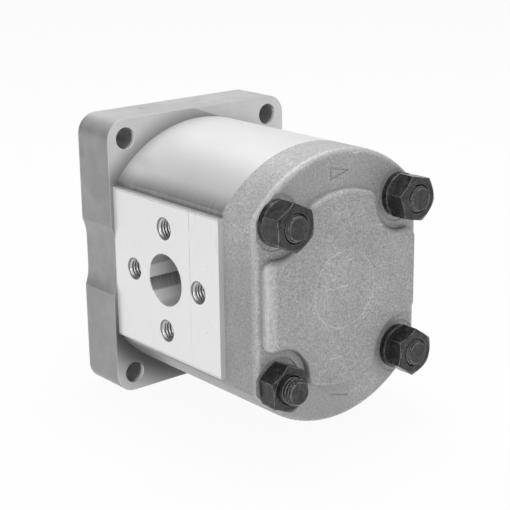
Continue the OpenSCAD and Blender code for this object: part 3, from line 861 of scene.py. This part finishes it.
def grow_rim(bm: bmesh.types.BMesh, rim: list[bmesh.types.BMEdge], height: float,
             radius: float) -> list[bmesh.types.BMEdge]:
    """Extrudes an open rim to a circle at another height.

    Args:
        bm: The bmesh.
        rim: The open edges.
        height: The new rim's height.
        radius: The new rim's radius.

    Returns:
        The new rim's edges.
    """
    made = bmesh.ops.extrude_edge_only(bm, edges=rim)["geom"]
    fresh = {item for item in made if isinstance(item, bmesh.types.BMVert)}
    for vert in fresh:
        vert.co.z = height
        set_radius(vert, radius)
    return [item for item in made if isinstance(item, bmesh.types.BMEdge)
            and all(vert in fresh for vert in item.verts)]


class SubAssembly(ABC):
    """A group of pieces that are made and dressed together."""

    @abstractmethod
    def make(self, book: FinishBook) -> None:
        """Builds what the CAD leaves out and puts the finishes on.

        Args:
            book: The finishes.
        """


def join_copies(copies: Iterable[bmesh.types.BMesh]) -> bmesh.types.BMesh:
    """Joins separate meshes into one bmesh.

    Args:
        copies: The bmeshes, which are freed.

    Returns:
        The joined bmesh.
    """
    whole = bmesh.new()
    for bm in copies:
        mesh = bpy.data.meshes.new("one_copy")
        bm.to_mesh(mesh)
        bm.free()
        whole.from_mesh(mesh)
        bpy.data.meshes.remove(mesh)
    return whole


@dataclass
class NodeGroup(SubAssembly):
    """CAD nodes that keep their own meshes and share a finish."""

    finish: str
    nodes: tuple[str, ...]

    def make(self, book: FinishBook) -> None:
        """Puts the finish on every node's material slots.

        Args:
            book: The finishes.
        """
        for node in self.nodes:
            book.dress(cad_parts[node], self.finish)
            LOG.info("node %s has %s", node, self.finish)


@dataclass
class TieStuds(SubAssembly):
    """The four studs, with real threads where they stand out of their nuts."""

    places: tuple[tuple[float, float], ...] = ((-30, 14.5), (30, 14.5), (-30, -45.7), (30, -45.7))
    front: float = 6.0
    tip: float = 114.4
    thread_l: float = 18.0
    radius: float = 5.0
    thread_depth: float = 0.85
    pitch: float = 1.5
    chamfer: float = 0.9
    turn_step: float = 1.7

    def _stud(self, bm: bmesh.types.BMesh, phase: float) -> None:
        """Builds one stud about +Z, with its tip at the stud's length.

        Args:
            bm: The bmesh that the stud goes into.
            phase: The turn of the thread, in radians.
        """
        length = (self.tip - self.front) * MM
        foot = length - self.thread_l * MM
        crest, root = self.radius * MM, (self.radius - self.thread_depth) * MM
        Thread(crest, root, self.pitch * MM, foot, length).skin(bm)
        for vert in bm.verts:
            limit = root + max(0.0, (length - vert.co.z) * 0.9)
            if vert.co.z > length - self.chamfer * MM:
                set_radius(vert, min(math.hypot(vert.co.x, vert.co.y), limit))
        low, high = Thread.rims(bm)
        low = grow_rim(bm, low, foot - 0.6 * MM, crest)
        low = grow_rim(bm, low, 0.8 * MM, crest)
        low = grow_rim(bm, low, 0.0, root)
        bmesh.ops.contextual_create(bm, geom=low)
        high = grow_rim(bm, high, length, root * 0.93)
        bmesh.ops.contextual_create(bm, geom=high)
        bmesh.ops.rotate(bm, verts=bm.verts[:], cent=(0, 0, 0), matrix=Matrix.Rotation(phase, 3, "Z"))

    def build(self) -> bpy.types.Object:
        """Builds all four studs as one piece.

        Returns:
            The piece.
        """
        lay_down = Matrix.Rotation(math.radians(90), 4, "X")
        copies = []
        for index, (x, z) in enumerate(self.places):
            bm = bmesh.new()
            self._stud(bm, self.turn_step * index)
            place = Matrix.Translation((x * MM, -self.front * MM, z * MM)) @ lay_down
            bmesh.ops.transform(bm, matrix=place, verts=bm.verts[:])
            copies.append(bm)
        whole = join_copies(copies)
        bmesh.ops.recalc_face_normals(whole, faces=whole.faces[:])
        return finish_mesh(whole, "threaded_studs", 28)

    def make(self, book: FinishBook) -> None:
        """Builds, dresses and attaches the studs in place of the plain ones.

        Args:
            book: The finishes.
        """
        studs = self.build()
        book.dress(studs, "black_oxide")
        attach(studs, Body.PUMP, ["tie_studs"])


@dataclass
class TappedHoles(SubAssembly):
    """The threads cut into one port's four tapped holes."""

    name: str
    side: int
    circle: float
    radius: float
    pitch: float
    pad_x: float = 42.5
    port_y: float = -53.0
    depth: float = 10.3
    mouth: float = 0.4
    wall_gap: float = 0.015
    count: int = 4

    def _sleeve(self, bm: bmesh.types.BMesh) -> None:
        """Builds one threaded wall about +Z, with its mouth upwards at the pad's face.

        Args:
            bm: The bmesh that the wall goes into.
        """
        outer = (self.radius - self.wall_gap) * MM
        inner = (self.radius - 0.54 * self.pitch) * MM
        top = -self.mouth * MM * 0.6
        Thread(outer - 0.02 * MM, inner, self.pitch * MM, -self.depth * MM, top).skin(bm)
        for vert in bm.verts:
            cone = self.radius * MM + (vert.co.z + self.mouth * MM)
            now = math.hypot(vert.co.x, vert.co.y)
            set_radius(vert, min(outer - 0.01 * MM, max(now, cone)))
        low, high = Thread.rims(bm)
        low = grow_rim(bm, low, -self.depth * MM, outer)
        high = grow_rim(bm, high, top, outer)
        bmesh.ops.bridge_loops(bm, edges=low + high)

    def build(self) -> bpy.types.Object:
        """Builds the port's four threads as one piece.

        Returns:
            The piece.
        """
        face_out = Matrix.Rotation(math.radians(90 * self.side), 4, "Y")
        copies = []
        for index in range(self.count):
            bm = bmesh.new()
            self._sleeve(bm)
            bmesh.ops.recalc_face_normals(bm, faces=bm.faces[:])
            angle = TURN * index / self.count
            place = Matrix.Translation((self.side * self.pad_x * MM,
                                        (self.port_y + self.circle / 2 * math.cos(angle)) * MM,
                                        MID_Z + self.circle / 2 * math.sin(angle) * MM))
            bmesh.ops.transform(bm, matrix=place @ face_out, verts=bm.verts[:])
            copies.append(bm)
        return finish_mesh(join_copies(copies), self.name, 40)

    def make(self, book: FinishBook) -> None:
        """Builds, dresses and attaches the port's threads.

        Args:
            book: The finishes.
        """
        piece = self.build()
        book.dress(piece, "machined_block")
        attach(piece, Body.PUMP)


PUMP = (
    NodeGroup("flange_casting", ("front_flange",)),
    NodeGroup("drawn_housing", ("gear_housing",)),
    NodeGroup("cover_casting", ("rear_cover",)),
    NodeGroup("ground_steel", ("drive_gear_shaft", "driven_gear_shaft", "front_dowels", "rear_dowels",
                               "woodruff_key")),
    NodeGroup("machined_block", ("front_bearing_block", "rear_bearing_block")),
    NodeGroup("bearing_bronze", ("front_drive_bush", "front_driven_bush", "rear_drive_bush",
                                 "rear_driven_bush")),
    NodeGroup("seal_rubber", ("front_pressure_seal", "rear_pressure_seal", "front_body_seal",
                              "rear_body_seal", "shaft_seal_lip")),
    NodeGroup("backup_plastic", ("front_backup_rings", "rear_backup_rings")),
    NodeGroup("coated_case", ("shaft_seal_case",)),
    NodeGroup("spring_steel", ("shaft_seal_spring",)),
    NodeGroup("black_oxide", ("seal_circlip", "tie_studs", "stud_washers", "shaft_washer")),
    NodeGroup("black_oxide_nut", ("stud_nuts", "shaft_nut")),
    TieStuds(),
    TappedHoles("inlet_threads", -1, 40, 4.0, 1.25),
    TappedHoles("outlet_threads", 1, 30, 3.0, 1.0),
)


@dataclass(frozen=True)
class Softbox:
    """One square soft lamp: its name, its place in metres, its side and its power in watts."""

    name: str
    place: tuple[float, float, float]
    size: float
    power: float

    def hang(self, aim: Sequence[float]) -> None:
        """Puts the lamp in the scene, facing a point.

        Args:
            aim: The point that it faces.
        """
        light = bpy.data.lights.new(self.name, "AREA")
        light.shape = "SQUARE"
        light.size = self.size
        light.energy = self.power
        lamp = bpy.data.objects.new(self.name, light)
        lamp.location = self.place
        lamp.rotation_euler = (Vector(aim) - Vector(self.place)).to_track_quat("-Z", "Y").to_euler()
        bpy.context.scene.collection.objects.link(lamp)


@dataclass
class Studio:
    """The floor, the lamps, the world and the camera."""

    floor_z: float = -71.4 * MM
    azimuth: float = -39.66
    elevation: float = 16.78
    roll: float = -0.768
    distance: float = 523.28 * MM
    focal_px: float = 1354.58
    frame_px: float = 510.0
    target: tuple[float, float, float] = (-4.562 * MM, -60 * MM, -11.838 * MM)
    flag: tuple[float, float, float] = (-0.45, 0.74, 0.5)
    flag_outer: float = 42.0
    flag_inner: float = 20.0
    middle: tuple[float, float, float] = (0, -0.05, -0.015)
    softboxes: tuple[Softbox, ...] = (
        Softbox("softbox_top", (0.15, 0.1, 0.9), 0.6, 5.0),
        Softbox("softbox_left", (-0.95, -0.25, 0.3), 0.4, 2.2),
    )

    def floor(self) -> None:
        """Makes a wide pale floor that shows white to the camera and keeps a soft shadow."""
        bm = bmesh.new()
        bmesh.ops.create_grid(bm, x_segments=8, y_segments=8, size=4.0)
        bmesh.ops.translate(bm, verts=bm.verts[:], vec=(0, 0, self.floor_z))
        piece = finish_mesh(bm, "studio_floor")
        material = bpy.data.materials.new("floor_paper")
        material.use_nodes = True
        graph = Graph(material.node_tree)
        paper = graph.node("ShaderNodeBsdfDiffuse", None, {"Color": grey(0.86)})
        white = graph.node("ShaderNodeEmission", None, {"Color": grey(1.0), "Strength": 1.0})
        seen = graph.node("ShaderNodeLightPath")
        share = graph.math("MAXIMUM", Signal(graph, seen.outputs["Is Camera Ray"]),
                           Signal(graph, seen.outputs["Is Glossy Ray"]))
        share = graph.math("MAXIMUM", share, Signal(graph, seen.outputs["Is Transmission Ray"])) * 0.93
        mixed = graph.node("ShaderNodeMixShader", None,
                           {0: share, 1: paper.outputs["BSDF"], 2: white.outputs["Emission"]})
        graph.node("ShaderNodeOutputMaterial", None, {"Surface": mixed.outputs["Shader"]})
        piece.data.materials.append(material)

    def world(self) -> None:
        """Lights the object evenly and shows white behind it."""
        world = bpy.data.worlds.new("studio_world")
        world.use_nodes = True
        graph = Graph(world.node_tree)
        ray = graph.node("ShaderNodeLightPath")
        direction = graph.node("ShaderNodeTexCoord").outputs["Generated"]
        up = Signal(graph, graph.node("ShaderNodeSeparateXYZ", None, {"Vector": direction}).outputs["Z"])
        dot = graph.node("ShaderNodeVectorMath", {"operation": "DOT_PRODUCT"},
                         {0: direction, 1: self.flag})
        outer, inner = (math.cos(math.radians(angle)) for angle in (self.flag_outer, self.flag_inner))
        flag = Signal(graph, dot.outputs["Value"]).high(outer, inner)
        soft = (0.42 + 0.2 * up.high(-0.2, 0.8)) * (1 - 0.85 * flag)
        mirror = (0.6 + 0.3 * up.high(0.0, 0.7)) * (1 - 0.95 * flag)
        shiny = graph.math("MAXIMUM", Signal(graph, ray.outputs["Is Glossy Ray"]),
                           Signal(graph, ray.outputs["Is Transmission Ray"]))
        camera = Signal(graph, ray.outputs["Is Camera Ray"])
        level = soft * (1 - shiny) + mirror * shiny
        level = level * (1 - camera) + camera
        shade = graph.node("ShaderNodeBackground", None, {"Color": grey(1.0), "Strength": level})
        graph.node("ShaderNodeOutputWorld", None, {"Surface": shade.outputs["Background"]})
        bpy.context.scene.world = world

    def lamps(self) -> None:
        """Hangs the softbox overhead and the weaker one on the left."""
        for softbox in self.softboxes:
            softbox.hang(self.middle)

    def camera(self) -> None:
        """Places the camera where the photograph was taken from."""
        turn, rise, lean = (math.radians(value) for value in (self.azimuth, self.elevation, self.roll))
        back = Vector((math.sin(turn) * math.cos(rise), -math.cos(turn) * math.cos(rise), math.sin(rise)))
        right = Vector((math.cos(turn), math.sin(turn), 0))
        up = back.cross(right)
        level_right = math.cos(lean) * right + math.sin(lean) * up
        level_up = -math.sin(lean) * right + math.cos(lean) * up
        data = bpy.data.cameras.new("photo_camera")
        data.sensor_fit = "HORIZONTAL"
        data.sensor_width = 36.0
        data.lens = self.focal_px / self.frame_px * data.sensor_width
        data.clip_start = 0.01
        data.clip_end = 20.0
        camera = bpy.data.objects.new("photo_camera", data)
        axes = Matrix((level_right, level_up, back)).transposed().to_4x4()
        camera.matrix_world = Matrix.Translation(Vector(self.target) + back * self.distance) @ axes
        bpy.context.scene.collection.objects.link(camera)
        bpy.context.scene.camera = camera


def attach(piece: bpy.types.Object, body: Body, replaced: Iterable[str] = ()) -> None:
    """Rides a piece on a body and hides the nodes that it stands for.

    Args:
        piece: The new piece.
        body: The body that carries it.
        replaced: The CAD nodes that it replaces.
    """
    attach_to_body(piece, body.value)
    for node in replaced:
        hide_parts(node)
    LOG.info("piece %s rides on %s", piece.name, body.value)


def main() -> None:
    """Builds the studio and every sub-assembly, then reports each piece."""
    logging.basicConfig(level=logging.INFO, format="%(name)s: %(message)s")
    bpy.context.scene.view_settings.view_transform = "Standard"
    studio = Studio()
    studio.camera()
    studio.floor()
    studio.world()
    studio.lamps()
    book = FinishBook()
    for group in PUMP:
        group.make(book)


if __name__ == "__main__":
    main()
